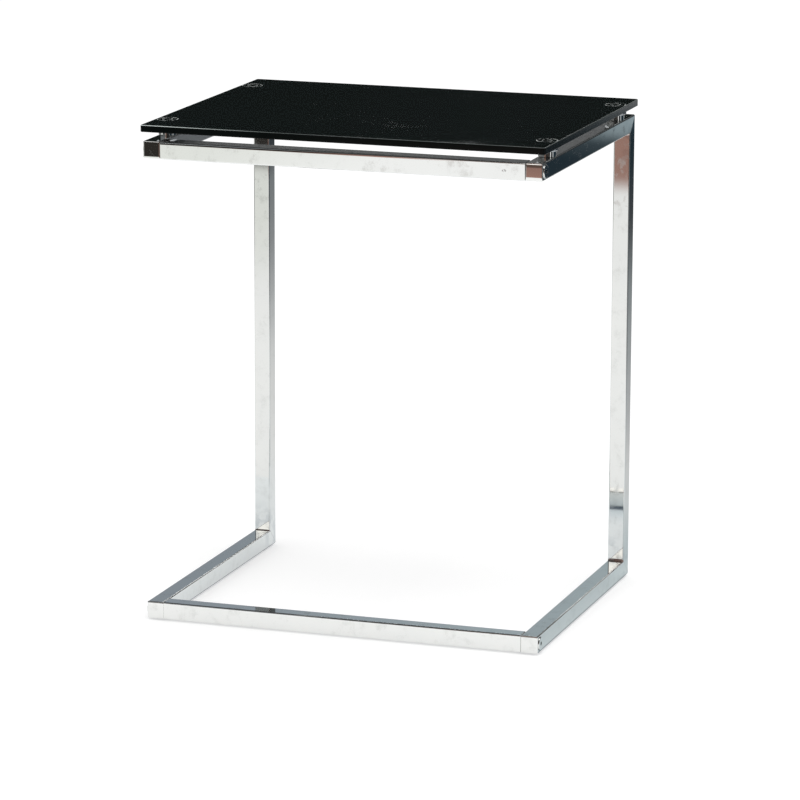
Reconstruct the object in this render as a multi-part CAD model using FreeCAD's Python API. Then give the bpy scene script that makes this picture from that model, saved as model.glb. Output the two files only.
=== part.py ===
import FreeCAD, Part
import os
from FreeCAD import Vector

# Whole table in millimetres: the glass sets the plan, and the height is to its upper face
glass_width = 450.0
glass_depth = 360.0
table_height = 545.0

# Glass top: one toughened sheet with rounded corners and seamed edges
glass_thickness = 7.5
glass_corner_radius = 3.0
glass_seam = 0.7

# Frame under the glass, set back from the glass all round
side_setback = 3.0
end_setback = 2.0
tube_side = 19.0
tube_wall = 1.2
tube_corner_radius = 1.5
least_bore_corner_share = 0.2
crossbar_end_bevel = 0.6

# Caps that close the front ends of the arms and runners
cap_thickness = 1.5
cap_bevel = 0.5
plug_clearance = 0.1
plug_to_bolt = 1.0

# Bolts and screws: one flat, wide head with a hexagon socket sunk through it serves them all
bolt_diameter = 6.0
bolt_tip_chamfer = 0.6
bolt_hole_clearance = 0.3
head_diameter = 15.0
head_height = 1.2
head_edge_radius = 0.8
hex_across_flats = 4.0
hex_depth = 2.6

# Threaded inserts welded into the crossbar ends
insert_length = 20.0
insert_corner_relief = 0.6
thread_clearance = 0.1
bolt_engagement = 14.0

# Glass fixings on the arms: spacer, bonded disc with a threaded boss, and a screw from below
fixing_inset = 47.0
glass_gap = 9.5
disc_diameter = 24.0
disc_thickness = 3.0
disc_chamfer = 0.8
disc_countersink = 1.2
boss_diameter = 10.0
boss_relief = 2.0
boss_clearance = 0.3
spacer_diameter = 19.0
spacer_chamfer = 0.5
screw_tip_to_glass = 0.8

# Glides under the base runners
glide_thickness = 2.0
glide_diameter = 14.0
glide_edge_radius = 0.6
glide_inset = 30.0

# How far a cutting shape runs past what it cuts
overrun = 5.0

# Places and sizes that follow from the values above
frame_width = glass_width - 2 * side_setback
frame_depth = glass_depth - 2 * end_setback
half_width = frame_width / 2
front = -frame_depth / 2
rear = frame_depth / 2
runner_bottom = glide_thickness
arm_top = table_height - glass_thickness - glass_gap
glass_bottom = table_height - glass_thickness
half_tube = tube_side / 2
bore_side = tube_side - 2 * tube_wall
bore_corner_radius = max(tube_corner_radius - tube_wall, least_bore_corner_share * tube_wall)
bolt_hole_radius = bolt_diameter / 2 + bolt_hole_clearance
thread_radius = bolt_diameter / 2 + thread_clearance
spacer_height = glass_gap - disc_thickness
levels = {"bottom": runner_bottom, "top": arm_top - tube_side}
hands = {"left": -1, "right": 1}
ends = {"front": front + fixing_inset, "rear": rear - fixing_inset}
along_x = Vector(1, 0, 0)
along_y = Vector(0, 1, 0)
along_z = Vector(0, 0, 1)


def block(low, high):
    """Box between two opposite corners."""
    size = high - low
    return Part.makeBox(size.x, size.y, size.z, low)


def edges_along(shape, direction):
    """Straight edges of a shape that run along one axis."""
    return [edge for edge in shape.Edges
            if edge.tangentAt(edge.FirstParameter).cross(direction).Length < edge.Tolerance]


def rounded_bar(low, high, radius, direction):
    """Box between two corners, rounded along its edges in one direction."""
    bar = block(low, high)
    return bar.makeFillet(radius, edges_along(bar, direction))


def tube_bore(low, high, direction):
    """Hollow of a tube that fills the box between two corners, run past both of its ends."""
    wall = (Vector(1, 1, 1) - direction) * tube_wall
    reach = direction * overrun
    return rounded_bar(low + wall - reach, high - wall + reach, bore_corner_radius, direction)


def tube_place(hand):
    """Lower and upper X of a side frame's tube on the left (-1) or right (+1)."""
    outer = hand * half_width
    inner = hand * (half_width - tube_side)
    return min(outer, inner), max(outer, inner)


def mitre_waste(outer_z, inward, of_upright):
    """What a 45 degree cut takes off the upright, or off the tube that meets it, at a rear corner.

    The corner's outer height is outer_z, and inward is +1 at the floor and -1 at the top.
    """
    left = -half_width - overrun
    outer = Vector(left, rear + overrun, outer_z - inward * overrun)
    inner = Vector(left, rear - tube_side - overrun, outer_z + inward * (tube_side + overrun))
    third = Vector(left, inner.y, outer.z) if of_upright else Vector(left, outer.y, inner.z)
    section = Part.Face(Part.makePolygon([outer, inner, third, outer]))
    return section.extrude(along_x * (frame_width + 2 * overrun))


def crossbar_bolt_hole(bottom_z):
    """Hole through both walls of a side tube, on the crossbar's axis."""
    start = Vector(-half_width - overrun, front + half_tube, bottom_z + half_tube)
    return Part.makeCylinder(bolt_hole_radius, frame_width + 2 * overrun, start, along_x)


def level_tube(hand, bottom_z):
    """Tube of a side frame from its front cap to the rear, rounded on every edge but its front end's."""
    low_x, high_x = tube_place(hand)
    low = Vector(low_x, front + cap_thickness, bottom_z)
    high = Vector(high_x, rear, bottom_z + tube_side)
    bar = block(low, high)
    polished_edges = [edge for edge in bar.Edges if edge.CenterOfMass.y > low.y + tube_wall]
    bar = bar.makeFillet(tube_corner_radius, polished_edges)
    return bar.cut(tube_bore(low, high, along_y)).cut(crossbar_bolt_hole(bottom_z))


def top_arm(hand):
    """Arm under the glass, mitred at the rear, with a hole through it for each glass fixing."""
    arm = level_tube(hand, levels["top"])
    arm = arm.cut(mitre_waste(arm_top, -1, of_upright=False))
    for place_y in ends.values():
        start = Vector(hand * (half_width - half_tube), place_y, levels["top"] - overrun)
        arm = arm.cut(Part.makeCylinder(bolt_hole_radius, tube_side + 2 * overrun, start, along_z))
    return arm


def base_runner(hand):
    """Runner along the floor, mitred at the rear."""
    return level_tube(hand, levels["bottom"]).cut(mitre_waste(runner_bottom, 1, of_upright=False))


def upright(hand):
    """Rear post between the runner and the arm, rounded on every edge and mitred at both ends."""
    low_x, high_x = tube_place(hand)
    low = Vector(low_x, rear - tube_side, runner_bottom)
    high = Vector(high_x, rear, arm_top)
    bar = block(low, high)
    post = bar.makeFillet(tube_corner_radius, bar.Edges).cut(tube_bore(low, high, along_z))
    for outer_z, inward in ((runner_bottom, 1), (arm_top, -1)):
        post = post.cut(mitre_waste(outer_z, inward, of_upright=True))
    return post


def end_cap(hand, bottom_z):
    """Cap on a tube's front end: a bevelled plate with a short plug that stops before the bolt."""
    low_x, high_x = tube_place(hand)
    plate = rounded_bar(Vector(low_x, front, bottom_z),
                        Vector(high_x, front + cap_thickness, bottom_z + tube_side),
                        tube_corner_radius, along_y)
    face = min(plate.Faces, key=lambda each: each.CenterOfMass.y)
    plate = plate.makeChamfer(cap_bevel, face.Edges)
    margin = tube_wall + plug_clearance
    plug_end = front + half_tube - bolt_diameter / 2 - plug_to_bolt
    plug = rounded_bar(Vector(low_x + margin, front + cap_thickness, bottom_z + margin),
                       Vector(high_x - margin, plug_end, bottom_z + tube_side - margin),
                       bore_corner_radius, along_y)
    return plate.fuse(plug).removeSplitter()


def crossbar(bottom_z):
    """Front bar that butts between the two side frames, bevelled round its ends."""
    reach = half_width - tube_side
    low = Vector(-reach, front, bottom_z)
    high = Vector(reach, front + tube_side, bottom_z + tube_side)
    bar = rounded_bar(low, high, tube_corner_radius, along_x)
    faces = sorted(bar.Faces, key=lambda each: each.CenterOfMass.x)
    bar = bar.makeChamfer(crossbar_end_bevel, faces[0].Edges + faces[-1].Edges)
    return bar.cut(tube_bore(low, high, along_x))


def crossbar_insert(hand, bottom_z):
    """Threaded block in a crossbar's end, flush with it."""
    mouth = hand * (half_width - tube_side)
    inner_end = mouth - hand * insert_length
    low = Vector(min(mouth, inner_end), front + tube_wall, bottom_z + tube_wall)
    high = Vector(max(mouth, inner_end), low.y + bore_side, low.z + bore_side)
    body = rounded_bar(low, high, bore_corner_radius + insert_corner_relief, along_x)
    axis = Vector(low.x - overrun, front + half_tube, bottom_z + half_tube)
    return body.cut(Part.makeCylinder(thread_radius, insert_length + 2 * overrun, axis, along_x))


def socket_bolt(length):
    """Bolt with its head above the origin and its shank below."""
    head = Part.makeCylinder(head_diameter / 2, head_height)
    rim = max(head.Edges, key=lambda edge: edge.CenterOfMass.z if edge.Closed else 0)
    head = head.makeFillet(head_edge_radius, [rim])
    hex_radius = hex_across_flats / 3 ** 0.5
    turns = [FreeCAD.Rotation(along_z, 60 * side) for side in range(7)]
    corners = [turn.multVec(along_x * hex_radius) for turn in turns]
    socket = Part.Face(Part.makePolygon(corners)).extrude(along_z * (hex_depth + overrun))
    socket.translate(along_z * (head_height - hex_depth))
    shank = Part.makeCylinder(bolt_diameter / 2, length, -along_z * length)
    tip = min(shank.Edges, key=lambda edge: edge.CenterOfMass.z)
    shank = shank.makeChamfer(bolt_tip_chamfer, [tip])
    return head.fuse(shank).removeSplitter().cut(socket)


def put(shape, place, direction):
    """Shape moved to a place, with its upward axis turned along a direction."""
    shape.Placement = FreeCAD.Placement(place, FreeCAD.Rotation(along_z, direction))
    return shape


def crossbar_bolt(hand, bottom_z):
    """Bolt from the outer side of a side frame into the crossbar's insert."""
    place = Vector(hand * half_width, front + half_tube, bottom_z + half_tube)
    return put(socket_bolt(tube_side + bolt_engagement), place, along_x * hand)


def fixing_place(hand, place_y, height):
    """Point on the axis of a glass fixing."""
    return Vector(hand * (half_width - half_tube), place_y, height)


def spacer(hand, place_y):
    """Turned ring that stands on the arm and carries the disc."""
    ring = Part.makeCylinder(spacer_diameter / 2, spacer_height)
    rims = [edge for edge in ring.Edges if edge.Closed]
    ring = ring.makeChamfer(spacer_chamfer, rims)
    bore = Part.makeCylinder(boss_diameter / 2 + boss_clearance, spacer_height + 2 * overrun,
                             -along_z * overrun)
    return put(ring.cut(bore), fixing_place(hand, place_y, arm_top), along_z)


def glass_disc(hand, place_y):
    """Disc bonded under the glass, with a threaded boss that hangs inside the spacer."""
    flange = Part.makeCylinder(disc_diameter / 2, disc_thickness)
    rims = [edge for edge in flange.Edges if edge.Closed]
    flange = flange.makeChamfer(disc_chamfer, rims)
    boss_length = spacer_height - boss_relief
    boss = Part.makeCylinder(boss_diameter / 2, boss_length, -along_z * boss_length)
    thread = Part.makeCylinder(thread_radius, glass_gap + 2 * overrun, -along_z * (glass_gap + overrun))
    mouth = Part.makeCone(thread_radius, thread_radius + disc_countersink, disc_countersink,
                          along_z * (disc_thickness - disc_countersink))
    disc = flange.fuse(boss).cut(thread).cut(mouth)
    return put(disc, fixing_place(hand, place_y, arm_top + spacer_height), along_z)


def fixing_screw(hand, place_y):
    """Screw from under the arm, through the spacer, into the disc's thread."""
    length = tube_side + glass_gap - screw_tip_to_glass
    return put(socket_bolt(length), fixing_place(hand, place_y, levels["top"]), -along_z)


def glass_top():
    """Sheet of glass with rounded corners and a narrow seam along each edge."""
    sheet = rounded_bar(Vector(-glass_width / 2, -glass_depth / 2, glass_bottom),
                        Vector(glass_width / 2, glass_depth / 2, table_height),
                        glass_corner_radius, along_z)
    faces = sorted(sheet.Faces, key=lambda each: each.CenterOfMass.z)
    return sheet.makeChamfer(glass_seam, faces[0].Edges + faces[-1].Edges)


def glide(hand, place_y):
    """Round pad stuck under a base runner."""
    pad = Part.makeCylinder(glide_diameter / 2, glide_thickness)
    rim = [edge for edge in pad.Edges if edge.Closed and edge.CenterOfMass.z < glide_thickness / 2]
    return put(pad.makeFillet(glide_edge_radius, rim), fixing_place(hand, place_y, 0), along_z)


nodes = {"glass_top": glass_top()}
for level, bottom_z in levels.items():
    nodes[f"{level}_crossbar"] = crossbar(bottom_z)
for side, hand in hands.items():
    nodes[f"top_arm_{side}"] = top_arm(hand)
    nodes[f"upright_{side}"] = upright(hand)
    nodes[f"base_runner_{side}"] = base_runner(hand)
    for level, bottom_z in levels.items():
        nodes[f"{level}_end_cap_{side}"] = end_cap(hand, bottom_z)
        nodes[f"{level}_crossbar_insert_{side}"] = crossbar_insert(hand, bottom_z)
        nodes[f"{level}_crossbar_bolt_{side}"] = crossbar_bolt(hand, bottom_z)
    for end, place_y in ends.items():
        nodes[f"spacer_{end}_{side}"] = spacer(hand, place_y)
        nodes[f"glass_disc_{end}_{side}"] = glass_disc(hand, place_y)
        nodes[f"fixing_screw_{end}_{side}"] = fixing_screw(hand, place_y)
    for end, place_y in (("front", front + glide_inset), ("rear", rear - glide_inset)):
        nodes[f"glide_{end}_{side}"] = glide(hand, place_y)

os.makedirs("parts", exist_ok=True)
for name, shape in nodes.items():
    shape.exportStep(f"parts/{name}.step")
    print(name, "valid" if shape.isValid() else "INVALID", len(shape.Solids), round(shape.Volume, 1))
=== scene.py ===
import math

import bpy
from mathutils import Matrix, Vector


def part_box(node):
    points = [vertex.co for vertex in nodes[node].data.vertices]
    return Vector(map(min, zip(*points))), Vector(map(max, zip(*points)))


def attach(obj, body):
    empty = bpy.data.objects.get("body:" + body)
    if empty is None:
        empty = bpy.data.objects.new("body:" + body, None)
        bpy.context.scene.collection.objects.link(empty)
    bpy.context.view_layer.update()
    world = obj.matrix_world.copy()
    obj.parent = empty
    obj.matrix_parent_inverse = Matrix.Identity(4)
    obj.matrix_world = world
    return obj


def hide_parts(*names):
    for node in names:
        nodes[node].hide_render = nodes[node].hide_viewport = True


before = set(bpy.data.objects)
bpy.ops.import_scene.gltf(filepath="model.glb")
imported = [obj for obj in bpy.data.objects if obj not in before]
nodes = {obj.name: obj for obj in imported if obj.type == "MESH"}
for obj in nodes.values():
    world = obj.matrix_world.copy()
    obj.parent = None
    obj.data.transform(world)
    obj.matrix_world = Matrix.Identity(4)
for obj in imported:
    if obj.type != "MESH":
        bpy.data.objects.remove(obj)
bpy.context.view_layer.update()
scene = bpy.context.scene

# Side frames: on each side an arm, an upright and a runner of square steel tube, mitred and welded
# into a C, ground flush and chrome plated. The CAD tubes are kept. Their plate shows soft waves and
# smears, a fine line and blotches at each dressed weld, and satin on the inner sides of the arms.
tube_side = 0.019
plate_relief = 0.00003
dressed_reach, satin_rough, below_arm = 0.03, 0.3, 0.02
weld_pull, pull_reach = 0.03, 0.10
frame_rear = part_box("upright_left")[1].y
arm_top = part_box("top_arm_left")[1].z
arm_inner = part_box("top_arm_right")[0].x
runner_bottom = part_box("base_runner_left")[0].z


def add(tree, kind, inputs=None, **settings):
    """New node with its settings, its inputs given as values or as sockets to link."""
    node = tree.nodes.new(kind)
    for name, value in settings.items():
        setattr(node, name, value)
    for name, value in (inputs or {}).items():
        if isinstance(value, bpy.types.NodeSocket):
            tree.links.new(value, node.inputs[name])
        else:
            node.inputs[name].default_value = value
    return node


def maths(tree, operation, *values):
    """Result of a Math node on values or sockets."""
    return add(tree, "ShaderNodeMath", dict(enumerate(values)), operation=operation).outputs[0]


def product(tree, first, *others):
    """Values or sockets multiplied."""
    for other in others:
        first = maths(tree, "MULTIPLY", first, other)
    return first


def ramp(tree, value, low, high, at_low, at_high):
    """Value carried smoothly from one range to another and held at its ends."""
    inputs = dict(enumerate((value, low, high, at_low, at_high)))
    return add(tree, "ShaderNodeMapRange", inputs, interpolation_type="SMOOTHSTEP").outputs[0]


def noise(tree, place, scale, detail=2.0, roughness=0.5):
    """Noise at a place, with a number of waves to the metre."""
    inputs = {"Vector": place, "Scale": scale, "Detail": detail, "Roughness": roughness}
    return add(tree, "ShaderNodeTexNoise", inputs).outputs["Fac"]


def mixed(tree, share, first, second, blend="MIX"):
    """Colour between two, given as colours or sockets."""
    return add(tree, "ShaderNodeMix", {0: share, 6: first, 7: second}, data_type="RGBA",
               blend_type=blend).outputs[2]


def split(tree, place):
    """X, Y and Z of a place."""
    return add(tree, "ShaderNodeSeparateXYZ", {"Vector": place}).outputs


def new_finish(name, metallic=0.0):
    """Empty material with its node tree, its shader and the place on the piece."""
    finish = bpy.data.materials.new(name)
    finish.use_nodes = True
    tree = finish.node_tree
    shader = tree.nodes["Principled BSDF"]
    shader.inputs["Metallic"].default_value = metallic
    return finish, tree, shader, add(tree, "ShaderNodeTexCoord").outputs["Object"]


def wire(tree, shader, tone, rough, height, distance):
    """Links a finish's colour, roughness and relief, the relief's depth in metres."""
    bump = add(tree, "ShaderNodeBump", {"Height": height, "Strength": 1.0, "Distance": distance})
    tree.links.new(tone, shader.inputs["Base Color"])
    tree.links.new(rough, shader.inputs["Roughness"])
    tree.links.new(bump.outputs["Normal"], shader.inputs["Normal"])


def chrome_finish(name, shine=0.71, marks=None):
    """Bright chrome plate with haze, smears and soft waves, and the marks that a function adds."""
    finish, tree, shader, place = new_finish(name, metallic=1.0)
    clear = (shine, shine + 0.006, shine - 0.012, 1)
    hazy = (shine - 0.05, shine - 0.04, shine - 0.05, 1)
    tone = mixed(tree, noise(tree, place, 16.0, 3.0, 0.6), clear, hazy)
    smear = ramp(tree, noise(tree, place, 64.0, 6.0, 0.7), 0.49, 0.70, 0.0, 1.0)
    tone = mixed(tree, product(tree, smear, 0.33), tone, (0.53, 0.54, 0.52, 1))
    rough = ramp(tree, smear, 0.0, 1.0, 0.04, 0.11)
    waves = noise(tree, place, 22.0, 1.0)
    if marks:
        tone, rough, waves = marks(tree, place, tone, rough, waves)
    wire(tree, shader, tone, rough, waves, plate_relief)
    return finish


def weld_marks(tree, place, tone, rough, waves, pull=0.0):
    """Marks of the welded rear corners, and the pull of the upper weld on the tube below it."""
    axes = split(tree, place)
    back = maths(tree, "SUBTRACT", frame_rear, axes["Y"])
    head = maths(tree, "SUBTRACT", arm_top, axes["Z"])
    foot = maths(tree, "SUBTRACT", axes["Z"], runner_bottom)
    at_head = maths(tree, "ABSOLUTE", maths(tree, "SUBTRACT", back, head))
    at_foot = maths(tree, "ABSOLUTE", maths(tree, "SUBTRACT", back, foot))
    from_weld = product(tree, maths(tree, "MINIMUM", at_head, at_foot), math.sqrt(0.5))
    line = ramp(tree, from_weld, 0.0001, 0.0004, 1.0, 0.0)
    tone = mixed(tree, product(tree, line, 0.6), tone, (0.25, 0.25, 0.255, 1))
    rough = maths(tree, "MAXIMUM", rough, product(tree, line, 0.35))
    off_middle = maths(tree, "ABSOLUTE", axes["X"])
    satin = product(tree, ramp(tree, off_middle, arm_inner, arm_inner + 0.0005, satin_rough, 0.0),
                    ramp(tree, head, below_arm, below_arm + 0.002, 1.0, 0.0))
    rough = maths(tree, "MAXIMUM", rough, satin)
    tone = mixed(tree, product(tree, satin, 2.0), tone, (0.30, 0.305, 0.31, 1))
    dressed = ramp(tree, from_weld, 0.0, dressed_reach, 1.2, 0.0)
    blotch = ramp(tree, noise(tree, place, 70.0, 3.0), 0.47, 0.60, 0.0, 0.4)
    tone = mixed(tree, product(tree, dressed, blotch), tone, (0.40, 0.43, 0.45, 1))
    waves = maths(tree, "ADD", waves, product(tree, dressed, noise(tree, place, 46.0)))
    off_axis = maths(tree, "SUBTRACT", back, tube_side / 2)
    twist = ramp(tree, head, below_arm, pull_reach, -pull / plate_relief, 0.0)
    waves = maths(tree, "ADD", waves, product(tree, off_axis, twist))
    return tone, rough, waves


def pulled_weld_marks(*look):
    """Marks of the welds on an upright, which the upper weld has pulled a little out of true."""
    return weld_marks(*look, pull=weld_pull)


def dress(node, finish):
    """CAD node shown as it is, in a better finish."""
    nodes[node].data.materials.clear()
    nodes[node].data.materials.append(finish)


chrome_tube = chrome_finish("chrome_tube", marks=weld_marks)
chrome_upright = chrome_finish("chrome_upright", marks=pulled_weld_marks)
for side in ("left", "right"):
    dress(f"top_arm_{side}", chrome_tube)
    dress(f"base_runner_{side}", chrome_tube)
    dress(f"upright_{side}", chrome_upright)

# Crossbars: two lengths of the same tube that butt between the side frames, with plain, eased ends. A
# rounded loop is swept with the wall's section. One bolt at each end lets a bar turn a little, and the
# upper one looks slightly down. Its upper edge falls away towards the left, and its front has a scuff.
tube_wall, tube_corner, end_ease = 0.0012, 0.0015, 0.0005
upper_turn, lower_turn = math.radians(2.2), math.radians(-0.3)
bar_low, bar_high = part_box("top_crossbar")
fall_start, fall_full = bar_high.z - 0.0033, bar_high.z - 0.0013
scuff_place, scuff_shape = (0.180, bar_low.y, (bar_low.z + bar_high.z) / 2), (1.0, 0.25, 1.4)


def length_of(tree, vector):
    """Length of a vector."""
    return add(tree, "ShaderNodeVectorMath", {0: vector}, operation="LENGTH").outputs["Value"]


def bar_marks(tree, place, tone, rough, waves):
    """Marks of the upper bar: the fall of its upper edge and the scuff on its front."""
    axes = split(tree, place)
    near_edge = ramp(tree, axes["Z"], fall_start, fall_full, 0.0, 1.0)
    fall = ramp(tree, axes["X"], -0.12, 0.2, -2.2, 0.0)
    waves = maths(tree, "ADD", waves, product(tree, near_edge, fall))
    offset = add(tree, "ShaderNodeVectorMath", {0: place, 1: scuff_place}, operation="SUBTRACT")
    spread = add(tree, "ShaderNodeVectorMath", {0: offset.outputs[0], 1: scuff_shape},
                 operation="MULTIPLY")
    mark = product(tree, ramp(tree, length_of(tree, spread.outputs[0]), 0.0007, 0.0030, 1.0, 0.0),
                   ramp(tree, noise(tree, place, 700.0, 3.0), 0.42, 0.55, 0.0, 0.9))
    tone = mixed(tree, mark, tone, (0.10, 0.10, 0.105, 1))
    rough = maths(tree, "MAXIMUM", rough, product(tree, mark, 0.4))
    return tone, rough, waves


def node_group(name, sizes):
    """Geometry tree that takes seats, sizes and a finish, with its group input's sockets."""
    tree = bpy.data.node_groups.new(name, "GeometryNodeTree")
    tree.interface.new_socket("Seats", in_out="INPUT", socket_type="NodeSocketGeometry")
    for size in sizes:
        tree.interface.new_socket(size, in_out="INPUT", socket_type="NodeSocketFloat")
    tree.interface.new_socket("Finish", in_out="INPUT", socket_type="NodeSocketMaterial")
    tree.interface.new_socket("Pieces", in_out="OUTPUT", socket_type="NodeSocketGeometry")
    return tree, tree.nodes.new("NodeGroupInput").outputs


def put_on_seats(tree, given, part, spin=0.0):
    """Ends a tree: the part on every seat, facing the seat's way, as real mesh in its finish."""
    way = add(tree, "GeometryNodeInputNamedAttribute", {"Name": "way"}, data_type="FLOAT_VECTOR")
    facing = add(tree, "FunctionNodeAlignRotationToVector", {"Vector": way.outputs["Attribute"]},
                 axis="Z")
    angle = add(tree, "FunctionNodeRandomValue", {"Min": 0.0, "Max": spin, "Seed": 7},
                data_type="FLOAT")
    about_axis = add(tree, "FunctionNodeAxisAngleToRotation",
                     {"Axis": (0, 0, 1), "Angle": angle.outputs["Value"]})
    turned_to = add(tree, "FunctionNodeRotateRotation", {"Rotation": facing.outputs[0],
                    "Rotate By": about_axis.outputs[0]}, rotation_space="LOCAL")
    placed = add(tree, "GeometryNodeInstanceOnPoints", {"Points": given["Seats"], "Instance": part,
                 "Rotation": turned_to.outputs[0]})
    real = add(tree, "GeometryNodeRealizeInstances", {"Geometry": placed.outputs["Instances"]})
    dressed = add(tree, "GeometryNodeSetMaterial",
                  {"Geometry": real.outputs[0], "Material": given["Finish"]})
    add(tree, "NodeGroupOutput", {"Pieces": dressed.outputs["Geometry"]})


def smooth(piece, sharp_from):
    """Smooth shading that keeps edges sharper than an angle and leaves flat faces flat."""
    piece.data.shade_smooth()
    piece.data.set_sharp_from_angle(angle=math.radians(sharp_from))
    piece.modifiers.new("flat_faces", "WEIGHTED_NORMAL").keep_sharp = True


def grow(name, tree, seats, sizes, stands_for):
    """Plain mesh piece of one part on each seat, a place and the way that the part faces."""
    base = bpy.data.meshes.new(name)
    base.from_pydata([place for place, way in seats], [], [])
    ways = base.attributes.new("way", "FLOAT_VECTOR", "POINT")
    ways.data.foreach_set("vector", [each for place, way in seats for each in way])
    piece = bpy.data.objects.new(name, base)
    scene.collection.objects.link(piece)
    growth = piece.modifiers.new("growth", "NODES")
    growth.node_group = tree
    for socket in tree.interface.items_tree:
        if socket.in_out == "INPUT" and socket.name in sizes:
            growth[socket.identifier] = sizes[socket.name]
    made = piece.evaluated_get(bpy.context.evaluated_depsgraph_get())
    mesh = bpy.data.meshes.new_from_object(made)
    piece.modifiers.remove(growth)
    piece.data = mesh
    smooth(piece, 32)
    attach(piece, "root")
    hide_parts(*stands_for)
    return piece


tube_sizes = {"Side": tube_side, "Wall": tube_wall, "Corner Radius": tube_corner, "End Ease": end_ease}
tree, given = node_group("square_tube", (*tube_sizes, "Length", "Turn"))
mid_side = maths(tree, "SUBTRACT", given["Side"], given["Wall"])
mid_radius = maths(tree, "SUBTRACT", given["Corner Radius"], product(tree, given["Wall"], 0.5))
square = add(tree, "GeometryNodeCurvePrimitiveQuadrilateral", {"Width": mid_side, "Height": mid_side})
loop = add(tree, "GeometryNodeFilletCurve", {"Curve": square.outputs[0], "Count": 8,
           "Radius": mid_radius}, mode="POLY")
upright_loop = add(tree, "GeometryNodeSetCurveNormal", {"Curve": loop.outputs[0]}, mode="Z_UP")
wall = add(tree, "GeometryNodeCurvePrimitiveQuadrilateral",
           {"Width": given["Wall"], "Height": given["Length"]})
section = add(tree, "GeometryNodeFilletCurve", {"Curve": wall.outputs[0], "Count": 3,
              "Radius": given["End Ease"]}, mode="POLY")
tube = add(tree, "GeometryNodeCurveToMesh", {"Curve": upright_loop.outputs[0],
           "Profile Curve": section.outputs[0]})
turn = add(tree, "ShaderNodeCombineXYZ", {"Z": given["Turn"]})
bar = add(tree, "GeometryNodeTransform", {"Geometry": tube.outputs["Mesh"],
          "Rotation": turn.outputs[0]})
put_on_seats(tree, given, bar.outputs["Geometry"])

chrome_bar = chrome_finish("chrome_bar", shine=0.79, marks=bar_marks)
bars = (("upper_bar", "top_crossbar", upper_turn), ("lower_bar", "bottom_crossbar", lower_turn))
for name, node, angle in bars:
    low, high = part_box(node)
    sizes = {**tube_sizes, "Length": high.x - low.x, "Turn": angle, "Finish": chrome_bar}
    grow(name, tree, [((low + high) / 2, (1, 0, 0))], sizes, [node])

# Threaded inserts: zinc plated blocks pressed into the crossbar ends, seen only with a bar off.
# The CAD blocks are kept, in a dull plate with the spangle of zinc.
zinc, tree, shader, place = new_finish("zinc_plate", metallic=1.0)
spangle = add(tree, "ShaderNodeTexVoronoi", {"Vector": place, "Scale": 420.0}).outputs["Color"]
tone = mixed(tree, spangle, (0.52, 0.54, 0.56, 1), (0.66, 0.67, 0.68, 1))
rough = ramp(tree, spangle, 0.0, 1.0, 0.28, 0.45)
wire(tree, shader, tone, rough, noise(tree, place, 900.0), 0.00002)
for level in ("top", "bottom"):
    for side in ("left", "right"):
        dress(f"{level}_crossbar_insert_{side}", zinc)

# End caps: pressed chrome caps that close the front ends of arms and runners. Each is a rounded plate
# with a plug behind it, and its face is drawn up like a shallow pillow so that its border turns away.
# A step of the pillow is its inset in width, its inset in height and its distance back from the face.
cap_corner, least_corner, cap_plate = 0.0015, 0.0004, 0.0015
plug_margin, plug_corner = 0.0013, 0.0008
flatter_cap, flatter_share = "top_end_cap_left", 0.6
pillow = ((0.0, 0.0, 0.0009), (0.0001, 0.00012, 0.00058), (0.0003, 0.0004, 0.00038),
          (0.0005, 0.0009, 0.00026), (0.0007, 0.0018, 0.00013), (0.0009, 0.0027, 0.00005),
          (0.0011, 0.0038, 0.00001), (0.0013, 0.005, 0.0))


def rounded_outline(half_x, half_y, radius, steps=8):
    """Points round a rectangle with rounded corners, about its middle."""
    points = []
    for corner, (sign_x, sign_y) in enumerate(((1, 1), (-1, 1), (-1, -1), (1, -1))):
        for step in range(steps + 1):
            angle = math.radians(90 * (corner + step / steps))
            points.append((sign_x * (half_x - radius) + radius * math.cos(angle),
                           sign_y * (half_y - radius) + radius * math.sin(angle)))
    return points


def loft(rings):
    """Vertices and faces of a closed skin over rings of points, with a flat face at each end."""
    count = len(rings[0])
    vertices = [point for ring in rings for point in ring]
    faces = [tuple(range(count))[::-1]]
    for level in range(len(rings) - 1):
        for index in range(count):
            after = (index + 1) % count
            faces.append((level * count + index, level * count + after,
                          (level + 1) * count + after, (level + 1) * count + index))
    faces.append(tuple(range((len(rings) - 1) * count, len(rings) * count)))
    return vertices, faces


def mesh_piece(name, skins, stands_for):
    """Piece made of closed skins, at the origin."""
    mesh = bpy.data.meshes.new(name)
    vertices, faces = [], []
    for points, corners in skins:
        faces += [tuple(len(vertices) + index for index in face) for face in corners]
        vertices += points
    mesh.from_pydata(vertices, [], faces)
    piece = bpy.data.objects.new(name, mesh)
    scene.collection.objects.link(piece)
    smooth(piece, 40)
    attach(piece, "root")
    if stands_for:
        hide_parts(*stands_for)
    return piece


cap_nodes = [f"{level}_end_cap_{side}" for level in ("top", "bottom") for side in ("left", "right")]
skins = []
for node in cap_nodes:
    low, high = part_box(node)
    middle, half = (low + high) / 2, (high.x - low.x) / 2
    share = flatter_share if node == flatter_cap else 1.0
    rings = []
    for depth in (high.y, low.y + cap_plate):
        outline = rounded_outline(half - plug_margin, half - plug_margin, plug_corner)
        rings.append([(middle.x + x, depth, middle.z + z) for x, z in outline])
    for inset_x, inset_z, back in ((0.0, 0.0, cap_plate), *pillow):
        corner = max(cap_corner - inset_x, least_corner)
        outline = rounded_outline(half - inset_x, half - share * inset_z, corner)
        rings.append([(middle.x + x, low.y + share * back, middle.z + z) for x, z in outline])
    skins.append(loft(rings))
caps = mesh_piece("end_caps", skins, cap_nodes)
caps.data.materials.append(chrome_finish("chrome_cap", shine=0.79))

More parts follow.
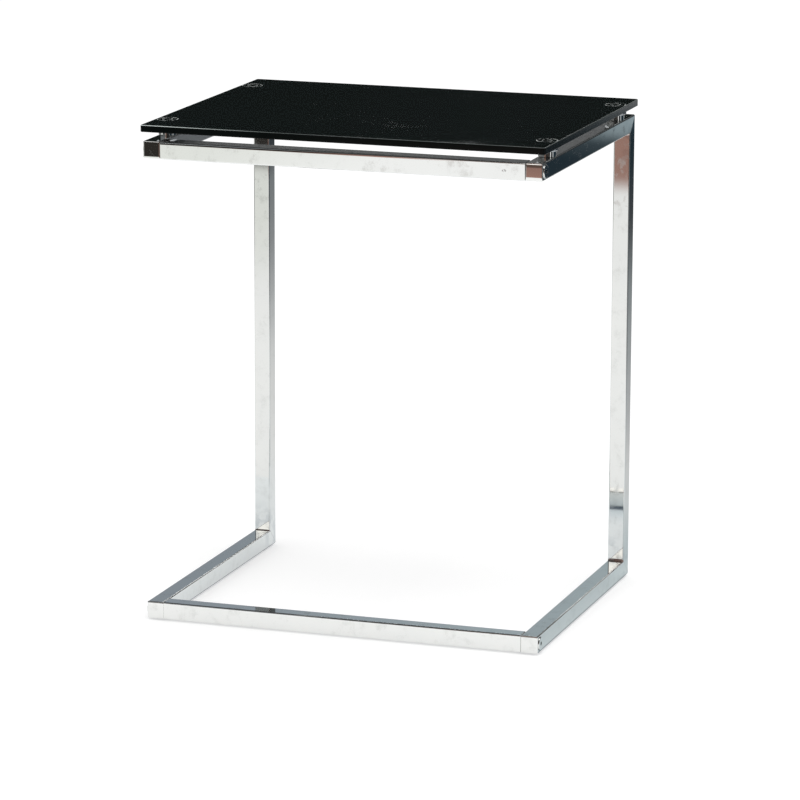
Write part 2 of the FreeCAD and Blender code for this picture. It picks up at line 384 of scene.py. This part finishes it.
# Weld fillets: the small hollow bead left in the inner corner of each welded joint, ground and plated
# with the tubes, but dull and brownish where no polishing wheel reaches. One section is carried across
# the tube and shrinks towards both ends.
full_bead, slight_bead, bead_sink, bead_margin = 0.0022, 0.0010, 0.0008, 0.0005
bead_course = ((-1.0, 0.4), (-0.95, 0.65), (-0.85, 0.9), (-0.7, 1.0),
               (0.7, 1.0), (0.85, 0.9), (0.95, 0.65), (1.0, 0.4))
arc_steps = 10
skins = []
for side in ("left", "right"):
    low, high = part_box(f"upright_{side}")
    middle_x, half = (low.x + high.x) / 2, (high.x - low.x) / 2 - bead_margin
    runner_top, arm_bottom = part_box(f"base_runner_{side}")[1].z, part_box(f"top_arm_{side}")[0].z
    for face_z, way in ((runner_top, 1), (arm_bottom, -1)):
        bead_radius = slight_bead if side == "left" and way == 1 else full_bead
        rings = []
        for share, size in bead_course:
            radius = bead_radius * size
            section = [(low.y - radius, -bead_sink)]
            for step in range(arc_steps + 1):
                angle = math.radians(90 * step / arc_steps)
                section.append((low.y - radius + radius * math.sin(angle),
                                radius - radius * math.cos(angle)))
            section += [(low.y + bead_sink, radius), (low.y + bead_sink, -bead_sink)]
            ring = [(middle_x + share * half, y, face_z + way * rise) for y, rise in section]
            rings.append(ring[::-way])
        skins.append(loft(rings))
beads = mesh_piece("weld_fillets", skins, [])

dulled, tree, shader, place = new_finish("dulled_chrome", metallic=1.0)
residue = ramp(tree, noise(tree, place, 160.0, 4.0), 0.4, 0.6, 0.0, 1.0)
tone = mixed(tree, residue, (0.60, 0.53, 0.50, 1), (0.42, 0.29, 0.25, 1))
wire(tree, shader, tone, ramp(tree, residue, 0.0, 1.0, 0.34, 0.5), residue, 0.00002)
beads.data.materials.append(dulled)

# Bolts and screws: plated button heads with a hexagon socket, four through the frame's outer sides
# into the crossbars and four up through the arms into the glass discs. Each is turned from a disc step
# by step, with its socket sunk into the head.
screw_sizes = {"Head Diameter": 0.015, "Head Height": 0.0012, "Edge Radius": 0.0008,
               "Across Flats": 0.004, "Socket Depth": 0.0026, "Shank Diameter": 0.006,
               "Tip Chamfer": 0.0006}
mouth_share, socket_share, mouth_sink = 0.66, 0.55, -0.0002
corners = [f"{end}_{side}" for end in ("front", "rear") for side in ("left", "right")]


def turned(tree, radius, steps, downward=False):
    """Skin turned from a circle by steps of rise and new radius, and the face that closes it."""
    circle = add(tree, "GeometryNodeMeshCircle", {"Vertices": 48, "Radius": radius}, fill_type="NGON")
    skin, face = circle.outputs["Mesh"], None
    if downward:
        skin = add(tree, "GeometryNodeFlipFaces", {"Mesh": skin}).outputs["Mesh"]
    for rise, next_radius in steps:
        inputs = {"Mesh": skin, "Offset Scale": rise, "Individual": False}
        if face is not None:
            inputs["Selection"] = face
        drawn = add(tree, "GeometryNodeExtrudeMesh", inputs)
        face = drawn.outputs["Top"]
        share = maths(tree, "DIVIDE", next_radius, radius)
        skin = add(tree, "GeometryNodeScaleElements", {"Geometry": drawn.outputs["Mesh"],
                   "Selection": face, "Scale": share}).outputs["Geometry"]
        radius = next_radius
    return skin, face


def merged(tree, *skins):
    """Skins joined into one where their rims meet."""
    joined = tree.nodes.new("GeometryNodeJoinGeometry")
    for skin in skins:
        tree.links.new(skin, joined.inputs[0])
    inputs = {"Geometry": joined.outputs[0], "Distance": 1e-6}
    return add(tree, "GeometryNodeMergeByDistance", inputs).outputs[0]


def half_of(tree, diameter):
    """Radius for a diameter."""
    return product(tree, diameter, 0.5)


def rounding(tree, radius, edge, count=4):
    """Steps of rise and radius that round a rim over, inward."""
    steps = []
    for step in range(1, count + 1):
        after, before = (math.radians(90 * each / count) for each in (step, step - 1))
        rise = product(tree, edge, math.sin(after) - math.sin(before))
        inward = product(tree, edge, 1 - math.cos(after))
        steps.append((rise, maths(tree, "SUBTRACT", radius, inward)))
    return steps


def at_corners(kind):
    """Names of the four nodes of a kind."""
    return [f"{kind}_{corner}" for corner in corners]


def corner_seats(kind, below_top, way_z):
    """Seats on the axes of the four nodes of a kind, at a depth below their tops."""
    seats = []
    for node in at_corners(kind):
        low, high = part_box(node)
        seats.append((((low.x + high.x) / 2, (low.y + high.y) / 2, high.z - below_top), (0, 0, way_z)))
    return seats


tree, given = node_group("socket_screw", (*screw_sizes, "Shank Length"))
head_radius, shank_radius = half_of(tree, given["Head Diameter"]), half_of(tree, given["Shank Diameter"])
straight = maths(tree, "SUBTRACT", given["Head Height"], given["Edge Radius"])
mouth = product(tree, given["Across Flats"], mouth_share)
socket = product(tree, given["Across Flats"], socket_share)
head, face = turned(tree, head_radius, [(straight, head_radius),
                    *rounding(tree, head_radius, given["Edge Radius"]), (0.0, mouth),
                    (mouth_sink, socket)])
axes = split(tree, add(tree, "GeometryNodeInputPosition").outputs[0])
angle = maths(tree, "ARCTAN2", axes["Y"], axes["X"])
off_flat = maths(tree, "SUBTRACT", maths(tree, "FLOORED_MODULO", angle, math.pi / 3), math.pi / 6)
reach = maths(tree, "DIVIDE", half_of(tree, given["Across Flats"]), maths(tree, "COSINE", off_flat))
corner = add(tree, "ShaderNodeCombineXYZ", {"X": product(tree, reach, maths(tree, "COSINE", angle)),
             "Y": product(tree, reach, maths(tree, "SINE", angle)), "Z": axes["Z"]})
hexed = add(tree, "GeometryNodeSetPosition", {"Geometry": head, "Selection": face,
            "Position": corner.outputs[0]})
sunk = add(tree, "GeometryNodeExtrudeMesh", {"Mesh": hexed.outputs[0], "Selection": face,
           "Individual": False, "Offset Scale": product(tree, given["Socket Depth"], -1.0)})
tip_radius = maths(tree, "SUBTRACT", shank_radius, given["Tip Chamfer"])
body = maths(tree, "SUBTRACT", given["Shank Length"], given["Tip Chamfer"])
shank, face = turned(tree, head_radius, [(0.0, shank_radius), (body, shank_radius),
                     (given["Tip Chamfer"], tip_radius)], downward=True)
put_on_seats(tree, given, merged(tree, sunk.outputs["Mesh"], shank), spin=math.pi / 3)

screw_finish = chrome_finish("plated_screw")
bolt_nodes = [f"{level}_crossbar_bolt_{side}" for level in ("top", "bottom") for side in ("left", "right")]
seats = []
for node in bolt_nodes:
    low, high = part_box(node)
    middle, outward = (low + high) / 2, (-1 if "left" in node else 1)
    outer = (low.x if outward < 0 else high.x) - outward * screw_sizes["Head Height"]
    seats.append(((outer, middle.y, middle.z), (outward, 0, 0)))
low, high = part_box(bolt_nodes[0])
length = high.x - low.x - screw_sizes["Head Height"]
grow("crossbar_bolts", tree, seats, {**screw_sizes, "Shank Length": length, "Finish": screw_finish},
     bolt_nodes)

screw_nodes = at_corners("fixing_screw")
low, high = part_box(screw_nodes[0])
length = high.z - low.z - screw_sizes["Head Height"]
grow("fixing_screws", tree, corner_seats("fixing_screw", length, -1),
     {**screw_sizes, "Shank Length": length, "Finish": screw_finish}, screw_nodes)

# Spacers: turned and plated rings that stand on the arms and carry the glass. Each is one skin for the
# outside, the top and the bore, and one for the foot, and both rims are chamfered.
spacer_sizes = {"Diameter": 0.019, "Bore": 0.0106, "Height": 0.0065, "Chamfer": 0.0005}


def opened(tree, skin, face):
    """Skin without the face that closes it."""
    inputs = {"Geometry": skin, "Selection": face}
    return add(tree, "GeometryNodeDeleteGeometry", inputs, domain="FACE").outputs[0]


tree, given = node_group("spacer", spacer_sizes)
outer, bore = half_of(tree, given["Diameter"]), half_of(tree, given["Bore"])
rim = maths(tree, "SUBTRACT", outer, given["Chamfer"])
side_height = maths(tree, "SUBTRACT", given["Height"], product(tree, given["Chamfer"], 2.0))
down = product(tree, given["Height"], -1.0)
ring = opened(tree, *turned(tree, rim, [(given["Chamfer"], outer), (side_height, outer),
                                        (given["Chamfer"], rim), (0.0, bore), (down, bore)]))
foot = opened(tree, *turned(tree, rim, [(0.0, bore)], downward=True))
put_on_seats(tree, given, merged(tree, ring, foot))
grow("spacers", tree, corner_seats("spacer", spacer_sizes["Height"], 1),
     {**spacer_sizes, "Finish": chrome_finish("turned_chrome")}, at_corners("spacer"))

# Glass discs: turned stainless discs bonded under the glass, each with a threaded boss that hangs
# inside its spacer. Fine turning rings run about each axis.
disc_sizes = {"Diameter": 0.024, "Thickness": 0.003, "Chamfer": 0.0008, "Boss Diameter": 0.010,
              "Boss Length": 0.0045, "Thread": 0.0062, "Countersink": 0.0012}


def from_disc_axis(tree, axes):
    """Distance from the axis of the nearest disc, as the four mirror each other."""
    low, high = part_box("glass_disc_rear_right")
    off_x = maths(tree, "SUBTRACT", maths(tree, "ABSOLUTE", axes["X"]), (low.x + high.x) / 2)
    off_y = maths(tree, "SUBTRACT", maths(tree, "ABSOLUTE", axes["Y"]), (low.y + high.y) / 2)
    return length_of(tree, add(tree, "ShaderNodeCombineXYZ", {"X": off_x, "Y": off_y}).outputs[0])


disc_steel, tree, shader, place = new_finish("turned_steel", metallic=1.0)
axes = split(tree, place)
along = add(tree, "ShaderNodeCombineXYZ", {"X": from_disc_axis(tree, axes), "Z": axes["Z"]}).outputs[0]
rings = noise(tree, along, 5200.0, 2.0)
tone = mixed(tree, rings, (0.58, 0.59, 0.60, 1), (0.70, 0.71, 0.715, 1))
wire(tree, shader, tone, ramp(tree, rings, 0.2, 0.8, 0.18, 0.30), rings, 0.000006)

tree, given = node_group("glass_disc", disc_sizes)
outer, boss, thread = (half_of(tree, given[each]) for each in ("Diameter", "Boss Diameter", "Thread"))
rim = maths(tree, "SUBTRACT", outer, given["Chamfer"])
mouth = maths(tree, "ADD", thread, given["Countersink"])
edge = maths(tree, "SUBTRACT", given["Thickness"], product(tree, given["Chamfer"], 2.0))
sink = product(tree, given["Countersink"], -1.0)
to_boss = maths(tree, "SUBTRACT", given["Countersink"], given["Thickness"])
into_boss = product(tree, given["Boss Length"], -1.0)
flange = opened(tree, *turned(tree, rim, [(given["Chamfer"], outer), (edge, outer), (given["Chamfer"], rim),
                                          (0.0, mouth), (sink, thread), (to_boss, thread)]))
hanging = opened(tree, *turned(tree, rim, [(0.0, boss), (given["Boss Length"], boss), (0.0, thread),
                                           (into_boss, thread)], downward=True))
put_on_seats(tree, given, merged(tree, flange, hanging))
grow("glass_discs", tree, corner_seats("glass_disc", disc_sizes["Thickness"], 1),
     {**disc_sizes, "Finish": disc_steel}, at_corners("glass_disc"))

# Glass top: one sheet of dark glass with tight corners and a polished edge whose arrises are rounded.
# Its underside is coated and its edge is ground a little duller than its face. Faint light rings are
# painted on the face as glints of the bonded discs' rims below, and a highlight is painted on the top
# arris.
glass_corner, arris, arris_steps = 0.003, 0.0007, 6
disc_glint_rings = ((0.0113, 1.0), (0.0052, 0.7))
glass_index = 1.5
glass_low, glass_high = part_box("glass_top")
middle, half = (glass_low + glass_high) / 2, (glass_high - glass_low) / 2
bends = [math.radians(90 * step / arris_steps) for step in range(arris_steps + 1)]
course = [(1 - math.sin(bend), glass_low.z + arris * (1 - math.cos(bend))) for bend in bends]
course += [(1 - math.cos(bend), glass_high.z - arris * (1 - math.sin(bend))) for bend in bends]
rings = []
for share, level in course:
    inset = arris * share
    outline = rounded_outline(half.x - inset, half.y - inset, glass_corner - inset)
    rings.append([(middle.x + x, middle.y + y, level) for x, y in outline])
sheet = mesh_piece("glass_sheet", [loft(rings)], ["glass_top"])

face_finish, tree, shader, place = new_finish("glass_face")
shader.inputs["IOR"].default_value = glass_index
radius = from_disc_axis(tree, split(tree, place))
cloud = noise(tree, place, 5.0, 3.0, 0.6)
tone = mixed(tree, cloud, (0.0032, 0.0048, 0.0048, 1), (0.0052, 0.0072, 0.0074, 1))
# Painted glints: light rings on the face at the radii of the discs' rims, broken into dashes, stand in for
# the rims glinting through the glass.
glint_breaks = ramp(tree, noise(tree, place, 430.0, 2.0), 0.42, 0.56, 0.05, 1.0)
for ring_radius, share in disc_glint_rings:
    from_ring = maths(tree, "ABSOLUTE", maths(tree, "SUBTRACT", radius, ring_radius))
    glint_trace = product(tree, ramp(tree, from_ring, 0.0004, 0.0007, share, 0.0), glint_breaks)
    tone = mixed(tree, glint_trace, tone, (0.80, 0.84, 0.82, 1))
smear = ramp(tree, noise(tree, place, 9.0, 5.0, 0.65), 0.5, 0.75, 0.0, 1.0)
rough = ramp(tree, smear, 0.0, 1.0, 0.015, 0.05)
wire(tree, shader, tone, rough, noise(tree, place, 3.0, 1.0), 0.00002)

edge_finish, tree, shader, place = new_finish("glass_edge")
shader.inputs["IOR"].default_value = glass_index
shader.inputs["Specular IOR Level"].default_value = 0.15
axes = split(tree, place)
ground = noise(tree, place, 30.0, 4.0)
tone = mixed(tree, ground, (0.0015, 0.0025, 0.0024, 1), (0.004, 0.006, 0.0056, 1))
# Painted highlight: the upper arris is painted light, brightest at the left end and faint along the right
# side.
arris_highlight = ramp(tree, axes["Z"], glass_high.z - arris, glass_high.z - 0.4 * arris, 0.0, 1.0)
lit_end = ramp(tree, axes["X"], glass_low.x, -0.06, 1.0, 0.13)
lit_side = product(tree, ramp(tree, axes["X"], glass_high.x - 0.0008, glass_high.x - 0.0002, 0.0, 1.0),
                   ramp(tree, axes["Y"], glass_low.y, glass_high.y, 0.06, 0.25))
arris_highlight = product(tree, arris_highlight, maths(tree, "MAXIMUM", lit_end, lit_side))
tone = mixed(tree, arris_highlight, tone, (0.60, 0.66, 0.64, 1))
grain = noise(tree, place, 1400.0, 2.0)
wire(tree, shader, tone, ramp(tree, grain, 0.3, 0.7, 0.07, 0.16), grain, 0.000003)

coat_finish, tree, shader, place = new_finish("glass_coat")
mottle = noise(tree, place, 60.0, 4.0)
tone = mixed(tree, mottle, (0.020, 0.022, 0.023, 1), (0.032, 0.034, 0.035, 1))
grain = noise(tree, place, 2400.0, 2.0)
wire(tree, shader, tone, ramp(tree, grain, 0.3, 0.7, 0.32, 0.45), grain, 0.00001)

for finish in (edge_finish, face_finish, coat_finish):
    sheet.data.materials.append(finish)
for face in sheet.data.polygons:
    if abs(face.normal.z) > 0.999:
        face.material_index = 1 if face.normal.z > 0 else 2

# Glides: milky nylon pads stuck under the runners, rounded at the foot and lightly scuffed. They are
# turned from a disc, like the screws, and closed by a flat back.
glide_sizes = {"Diameter": 0.014, "Thickness": 0.002, "Edge Radius": 0.0006}
nylon, tree, shader, place = new_finish("milky_nylon")
shader.inputs["Subsurface Weight"].default_value = 0.15
shader.inputs["Subsurface Radius"].default_value = (0.002, 0.002, 0.0018)
scuffed = ramp(tree, noise(tree, place, 320.0, 6.0, 0.7), 0.5, 0.7, 0.0, 1.0)
tone = mixed(tree, product(tree, scuffed, 0.5), (0.80, 0.795, 0.77, 1), (0.60, 0.59, 0.56, 1))
wire(tree, shader, tone, ramp(tree, scuffed, 0.0, 1.0, 0.38, 0.62), scuffed, 0.00003)

tree, given = node_group("glide", glide_sizes)
outer = half_of(tree, given["Diameter"])
rim = maths(tree, "SUBTRACT", given["Thickness"], given["Edge Radius"])
pad, face = turned(tree, outer, [(rim, outer), *rounding(tree, outer, given["Edge Radius"])])
back, face = turned(tree, outer, [(0.0, product(tree, outer, 0.4))], downward=True)
put_on_seats(tree, given, merged(tree, pad, back))
grow("glides", tree, corner_seats("glide", 0.0, -1), {**glide_sizes, "Finish": nylon},
     at_corners("glide"))

# Floor: a plain white sweep that keeps the table's contact shadow. Mirrored in the chrome it carries
# painted shade, falling off to the darker room beyond it, cool towards the rear right and brown in front,
# and painted shadow under the runners and the lower bar, behind that bar and right of the right runner.
white = (1, 1, 1, 1)
floor_reach, floor_grey, floor_glow = 14, 0.62, 0.52
dark_brown, mid_brown, foot_white = (0.03, 0.027, 0.024), (0.38, 0.22, 0.18), (0.95, 0.98, 1)


def stage_mesh(name, points, faces):
    """Mesh that belongs to the stage."""
    mesh = bpy.data.meshes.new(name)
    mesh.from_pydata(points, [], faces)
    thing = bpy.data.objects.new(name, mesh)
    scene.collection.objects.link(thing)
    return thing


def bare_finish(name):
    """Material with its shader taken out, its node tree and the place on the thing."""
    finish, tree, shader, place = new_finish(name)
    tree.nodes.remove(shader)
    return finish, tree, split(tree, place)


def tones(tree, value, low, high, stops):
    """Colour at a value, between stops of a value and a colour."""
    share = maths(tree, "DIVIDE", maths(tree, "SUBTRACT", value, low), high - low)
    fall = add(tree, "ShaderNodeValToRGB", {"Fac": share})
    while len(fall.color_ramp.elements) < len(stops):
        fall.color_ramp.elements.new(0.5)
    for element, (spot, colour) in zip(fall.color_ramp.elements, stops):
        element.position = (spot - low) / (high - low)
        element.color = (*colour, 1)
    return fall.outputs["Color"]


def band(tree, value, start, full, still, end):
    """One from a full to a still value, and nothing before the start and after the end."""
    return product(tree, ramp(tree, value, start, full, 0.0, 1.0), ramp(tree, value, still, end, 1.0, 0.0))


def seen_share(tree):
    """One for rays that show a thing, in the picture or in a mirror, nothing for those that light."""
    path = add(tree, "ShaderNodeLightPath").outputs
    seen = maths(tree, "MAXIMUM", path["Is Camera Ray"], path["Is Glossy Ray"])
    return maths(tree, "MAXIMUM", seen, path["Is Transmission Ray"])


floor_corners = [(x * floor_reach, y * floor_reach, 0) for x, y in ((-1, -1), (1, -1), (1, 1), (-1, 1))]
floor = stage_mesh("floor", floor_corners, [(0, 1, 2, 3)])
finish, tree, axes = bare_finish("floor_white")
across, along = axes["X"], axes["Y"]
off_middle = maths(tree, "ABSOLUTE", across)

# Painted shade: the mirrored floor darkens away from the table, towards the rear and towards the right.
rear_tone = tones(tree, along, 0.0, 4.0, ((0.2, (1, 1, 1)), (0.55, (0.83, 0.83, 0.83)),
                  (1.4, (0.63, 0.64, 0.65)), (1.8, (0.53, 0.54, 0.55)), (2.25, (0.45, 0.46, 0.47)),
                  (3.1, (0.44, 0.45, 0.46)), (3.5, (0.9, 0.92, 0.94))))
side_tone = tones(tree, across, 0.0, 1.4, ((0.18, (1, 1, 1)), (0.46, (0.62, 0.63, 0.64)),
                  (0.68, (0.47, 0.50, 0.51)), (0.84, (0.12, 0.13, 0.14)), (1.1, (0.04, 0.066, 0.085))))
far_side = ramp(tree, along, 3.10, 3.28, ramp(tree, along, 2.92, 3.10, 0.0, 0.14), 1.0)
far_side = product(tree, far_side, ramp(tree, across, 1.13, 1.16, 1.0, 0.0))
side_tone = mixed(tree, far_side, side_tone, (0.39, 0.47, 0.50, 1))
side_tone = mixed(tree, ramp(tree, along, 3.42, 3.7, 0.0, 1.0), side_tone, (0.95, 0.95, 0.95, 1))
side_tone = mixed(tree, ramp(tree, along, 0.2, 0.9, 0.0, 1.0), white, side_tone)
# Painted shadow: the mirrored floor just right of the right runner is darker near the table.
painted_foot_shadow = tones(tree, across, -0.3, 0.7, ((-0.21, foot_white), (0.21, foot_white),
                  (0.224, (0.67, 0.74, 0.76)), (0.252, (0.53, 0.60, 0.63)), (0.46, (0.72, 0.76, 0.78))))
painted_foot_shadow = mixed(tree, ramp(tree, along, -0.175, -0.165, 0.0, 1.0), white, painted_foot_shadow)
painted_foot_shadow = mixed(tree, ramp(tree, along, 0.25, 0.8, 0.0, 1.0), painted_foot_shadow, white)
tint = mixed(tree, 1.0, rear_tone, side_tone, "MULTIPLY")
tint = mixed(tree, 1.0, tint, painted_foot_shadow, "MULTIPLY")

room = tones(tree, across, -1.4, 1.4, ((-1.2, dark_brown), (-0.85, mid_brown), (0.3, mid_brown),
             (1.0, (0.05, 0.045, 0.04))))
room = mixed(tree, ramp(tree, along, -2.95, -3.5, 0.0, 0.65), room, (*dark_brown, 1))
front_right = ramp(tree, across, 0.85, 1.3, 0.0, ramp(tree, along, 0.4, -0.4, 0.0, 1.0))
far_left = ramp(tree, across, -1.6, -2.3, 0.0, 1.0)
front_left = ramp(tree, across, -0.62, -1.0, 0.0, ramp(tree, along, -1.2, -1.6, 0.0, 1.0))
far_front = ramp(tree, along, -2.35, -2.65, 0.0, 1.0)
far_rear = ramp(tree, along, 4.0, 4.6, 0.0, 1.0)

runner_low, runner_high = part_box("base_runner_right")
bar_low, bar_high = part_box("bottom_crossbar")
# Painted shadow: dark strips on the mirrored floor behind the lower bar and under the runners and the lower
# bar.
shadow_behind_bar = product(tree, ramp(tree, along, bar_high.y, bar_high.y + 0.08, 0.45, 0.0),
                     ramp(tree, along, bar_low.y, bar_high.y, 0.0, 1.0),
                     ramp(tree, off_middle, 0.18, 0.2, 1.0, 0.0))
shadow_under_runner = product(tree, band(tree, off_middle, runner_low.x - 0.005, runner_low.x - 0.003,
                                  runner_high.x + 0.003, runner_high.x + 0.005),
                       band(tree, along, bar_low.y, bar_low.y + 0.005, 0.18, 0.185), 0.7)
shadow_under_bar = product(tree, band(tree, along, bar_low.y + 0.006, bar_low.y + 0.010,
                               bar_high.y + 0.003, bar_high.y + 0.006),
                    ramp(tree, off_middle, 0.215, 0.22, 1.0, 0.0), 0.95)
under = maths(tree, "MAXIMUM", shadow_under_runner, shadow_under_bar)
for share, colour in ((front_right, (0.04, 0.042, 0.045, 1)), (far_left, (0.20, 0.20, 0.20, 1)),
                      (front_left, (0.86, 0.875, 0.84, 1)), (far_front, room),
                      (far_rear, (0.03, 0.036, 0.04, 1)), (shadow_behind_bar, (0.50, 0.62, 0.70, 1)),
                      (under, (0.07, 0.10, 0.15, 1))):
    tint = mixed(tree, share, tint, colour)

mirrored = add(tree, "ShaderNodeLightPath").outputs["Is Glossy Ray"]
tint = mixed(tree, mirrored, white, tint)
paint = mixed(tree, 1.0, tint, (floor_grey, floor_grey, floor_grey, 1), "MULTIPLY")
matt = add(tree, "ShaderNodeBsdfDiffuse", {"Color": paint})
strength = product(tree, seen_share(tree), floor_glow)
glow = add(tree, "ShaderNodeEmission", {"Color": tint, "Strength": strength})
both = add(tree, "ShaderNodeAddShader", {0: matt.outputs[0], 1: glow.outputs[0]})
tree.links.new(both.outputs[0], tree.nodes["Material Output"].inputs["Surface"])
floor.data.materials.append(finish)

# Room: a round of dim wall about the sweep, with a bright patch at the rear and two panels in front,
# a ceiling on it and a tall strip light at the right. They are seen in mirrors alone.
wall_sides, wall_radius, wall_middle, wall_head = 96, 2.9, -0.6, 3.6
wall_foot, front_foot, right_foot = 0.5, 0.05, 0.24
front_panels = ((-1.52, -1.35, 0.95), (-0.83, -0.64, 1.05))
panel_foot, soft_border = 0.80, 0.02
strip_near, strip_far, strip_foot, strip_head = (2.27, -1.40), (2.41, -1.18), 0.1, 1.5


def set_aglow(thing, finish, tree, colour, strength=1.0):
    """Lets a thing glow and leaves it to be seen by mirror rays alone."""
    glow = add(tree, "ShaderNodeEmission", {"Color": colour, "Strength": strength})
    tree.links.new(glow.outputs[0], tree.nodes["Material Output"].inputs["Surface"])
    thing.data.materials.append(finish)
    thing.visible_camera = False
    thing.visible_diffuse = False
    thing.visible_transmission = False
    thing.visible_volume_scatter = False
    thing.visible_shadow = False


points, faces = [], []
for step in range(wall_sides):
    angle, after = math.tau * step / wall_sides, (step + 1) % wall_sides
    foot = wall_foot
    if math.sin(angle) < -0.5:
        foot = front_foot
    elif 58 < math.degrees(angle) < 80:
        foot = right_foot
    x, y = wall_radius * math.cos(angle), wall_middle + wall_radius * math.sin(angle)
    points += [(x, y, foot), (x, y, wall_head)]
    faces.append((2 * step, 2 * after, 2 * after + 1, 2 * step + 1))
wall = stage_mesh("wall", points, faces)

finish, tree, axes = bare_finish("wall_dim")
across, along, height = axes["X"], axes["Y"], axes["Z"]
rear = tones(tree, across, -1.2, 0.0, ((-1.0, (0.29, 0.33, 0.37)), (-0.4, (0.40, 0.47, 0.50))))
rear = mixed(tree, ramp(tree, height, 0.72, 0.84, 0.0, 1.0), rear, (0.0105, 0.0135, 0.0125, 1))
rear_right = tones(tree, across, 0.0, 1.2, ((0.7, (0.10, 0.11, 0.115)), (0.8, (0.03, 0.032, 0.035))))
rear_right = mixed(tree, ramp(tree, height, 0.95, 1.0, 0.0, 1.0), rear_right, (0.14, 0.15, 0.155, 1))
rear = mixed(tree, ramp(tree, across, 0.1, 0.3, 0.0, 1.0), rear, rear_right)
bright = tones(tree, across, -1.6, 1.6, ((-0.9, (0, 0, 0)), (-0.86, (1, 1, 1)),
               (0.43, (1, 1, 1)), (0.45, (0, 0, 0))))
bright_head = ramp(tree, across, -0.42, -0.36, 1.16, 0.965)
bright_foot = ramp(tree, across, -0.26, -0.22, 0.97, 0.87)
bright_foot = ramp(tree, across, 0.16, 0.24, bright_foot, 0.80)
below_head = maths(tree, "SUBTRACT", bright_head, height)
above_foot = maths(tree, "SUBTRACT", height, bright_foot)
bright = product(tree, bright, ramp(tree, below_head, 0.0, soft_border, 0.0, 1.0),
                 ramp(tree, above_foot, 0.0, soft_border, 0.0, 1.0))
rear = mixed(tree, bright, rear, (3.2, 3.23, 3.25, 1))

high_dark, high_brown = (0.028, 0.025, 0.023), (0.24, 0.15, 0.12)
front = tones(tree, across, -1.4, 0.0, ((-1.2, dark_brown), (-0.85, (0.12, 0.08, 0.065))))
high_front = tones(tree, across, -1.5, 0.5, ((-1.3, (0.21, 0.225, 0.235)), (-1.2, high_dark),
                   (-1.0, high_dark), (-0.88, high_brown), (0.2, high_brown), (0.4, (0.03, 0.03, 0.03))))
front = mixed(tree, ramp(tree, height, panel_foot, panel_foot + 0.03, 0.0, 1.0), front, high_front)
for left, right, head in front_panels:
    panel = product(tree, band(tree, across, left - soft_border, left, right, right + soft_border),
                    band(tree, height, panel_foot, panel_foot + 0.03, head, head + soft_border))
    front = mixed(tree, panel, front, (1.7, 1.65, 1.6, 1))
set_aglow(wall, finish, tree, mixed(tree, ramp(tree, along, 0.0, -1.0, 0.0, 1.0), rear, front))

ceiling = stage_mesh("ceiling", points[1::2], [tuple(range(wall_sides))])
finish, tree, axes = bare_finish("ceiling_dim")
set_aglow(ceiling, finish, tree, tones(tree, axes["X"], -2.0, 2.0, ((-1.3, (0.08, 0.082, 0.085)),
                                                                    (1.6, (0.24, 0.245, 0.25)))))

strip = stage_mesh("strip_light", [(*strip_near, strip_foot), (*strip_far, strip_foot),
                                   (*strip_far, strip_head), (*strip_near, strip_head)], [(0, 1, 2, 3)])
finish, tree, axes = bare_finish("strip_white")
set_aglow(strip, finish, tree, white, strength=1.5)

# Light: an even white sky, a little dimmer as a light than it looks, and one soft box above the table,
# to the right and in front of it, which gives the contact shadow.
sky_as_light = 0.85
world = bpy.data.worlds.new("studio")
scene.world = world
world.use_nodes = True
tree = world.node_tree
sky = tree.nodes["Background"].inputs
tree.links.new(ramp(tree, seen_share(tree), 0.0, 1.0, sky_as_light, 1.0), sky["Strength"])
sky["Color"].default_value = white

softbox = bpy.data.objects.new("softbox", bpy.data.lights.new("softbox", "AREA"))
softbox.data.size = 1.6
softbox.data.energy = 20
softbox.matrix_world = Matrix.Translation((0.35, -0.45, 2.6))
scene.collection.objects.link(softbox)

# Camera: a long lens from the front right, a little above the glass, with a slight roll. Its place and
# its aim were fitted to the table's edges.
camera_place, camera_roll = (1.50699, -4.49226, 1.27484), math.radians(0.219)
camera = bpy.data.objects.new("camera", bpy.data.cameras.new("camera"))
camera.data.lens = 198.33
camera.data.sensor_width = 36.0
camera.data.clip_end = 50.0
aim = Vector((-0.30903, 0.92610, -0.21643)).to_track_quat("-Z", "Y").to_matrix().to_4x4()
camera.matrix_world = Matrix.Translation(camera_place) @ aim @ Matrix.Rotation(camera_roll, 4, "Z")
scene.collection.objects.link(camera)
scene.camera = camera
scene.view_settings.view_transform = "Standard"
